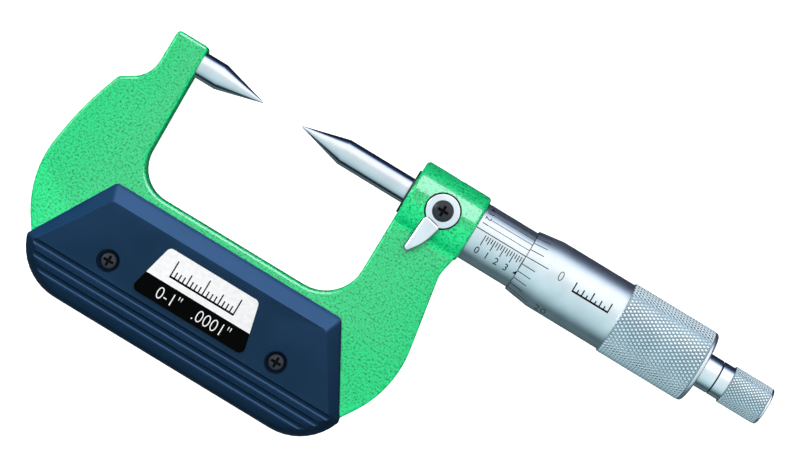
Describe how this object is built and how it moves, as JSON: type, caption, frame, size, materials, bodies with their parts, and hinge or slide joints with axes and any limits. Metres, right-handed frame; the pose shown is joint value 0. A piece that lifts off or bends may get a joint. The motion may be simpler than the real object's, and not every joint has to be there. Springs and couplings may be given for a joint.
{
  "type": "outside micrometer",
  "caption": "Pointed outside micrometer: U frame with insulated grips, graduated sleeve and thimble, friction stop and lever lock.",
  "frame": {"origin": "tip of the anvil point, on the measuring axis, in the frame's mid plane", "axes": "+X along the measuring axis from anvil to thimble, +Y from the bow of the frame towards the axis, +Z out of the labelled front face"},
  "size_m": [0.1708, 0.0719, 0.0195],
  "materials": {
    "frame_enamel": "hammered green enamel on a forged steel frame",
    "hardened_steel": "ground",
    "dark_steel": "turned, oiled",
    "spring_steel": "drawn wire",
    "satin_chrome": "satin",
    "bright_chrome": "polished",
    "black_oxide": "black oxide",
    "brass": "turned",
    "grip_plastic": "fine grained, dark navy",
    "label_foil": "printed white and black"
  },
  "bodies": {
    "frame": {"frame": "frame_enamel", "anvil": "hardened_steel", "inner_sleeve": "dark_steel", "adjusting_nut": "dark_steel", "sleeve_set_screw": "black_oxide", "lock_pad": "brass", "front_grip": "grip_plastic", "back_grip": "grip_plastic", "front_grip_screws": "black_oxide", "back_grip_screws": "black_oxide", "label_plate": "label_foil"},
    "sleeve": {"outer_sleeve": "satin_chrome"},
    "carrier": {"ratchet_washer": "hardened_steel"},
    "spindle": {"spindle": "hardened_steel", "thimble": "satin_chrome", "ratchet_seat": "satin_chrome", "ratchet_screw": "dark_steel"},
    "ratchet": {"ratchet_knob": "satin_chrome", "ratchet_cap": "satin_chrome", "ratchet_spring": "spring_steel"},
    "lock": {"lock_stud": "dark_steel", "lock_lever": "bright_chrome", "lock_lever_screw": "black_oxide"}
  },
  "joints": [
    {"name": "sleeve_zero_setting", "type": "hinge", "parent": "frame", "child": "sleeve", "pos_m": [0.07, 0, 0], "axis": [1, 0, 0], "range_deg": [-8, 8]},
    {"name": "spindle_travel", "type": "slide", "parent": "frame", "child": "carrier", "axis": [1, 0, 0], "range_m": [-0.01016, 0.01524]},
    {"name": "thimble_turn", "type": "hinge", "parent": "carrier", "child": "spindle", "pos_m": [0.09, 0, 0], "axis": [1, 0, 0], "range_deg": [-5760, 8640]},
    {"name": "ratchet_turn", "type": "hinge", "parent": "spindle", "child": "ratchet", "pos_m": [0.128, 0, 0], "axis": [1, 0, 0], "continuous": true},
    {"name": "lock_lever_turn", "type": "hinge", "parent": "frame", "child": "lock", "pos_m": [0.0479, 0, 0.0071], "axis": [0, 0, 1], "range_deg": [0, 60]}
  ],
  "couplings": [
    {"joint": "thimble_turn", "follows": "spindle_travel", "rad_per_m": 9894.8}
  ]
}
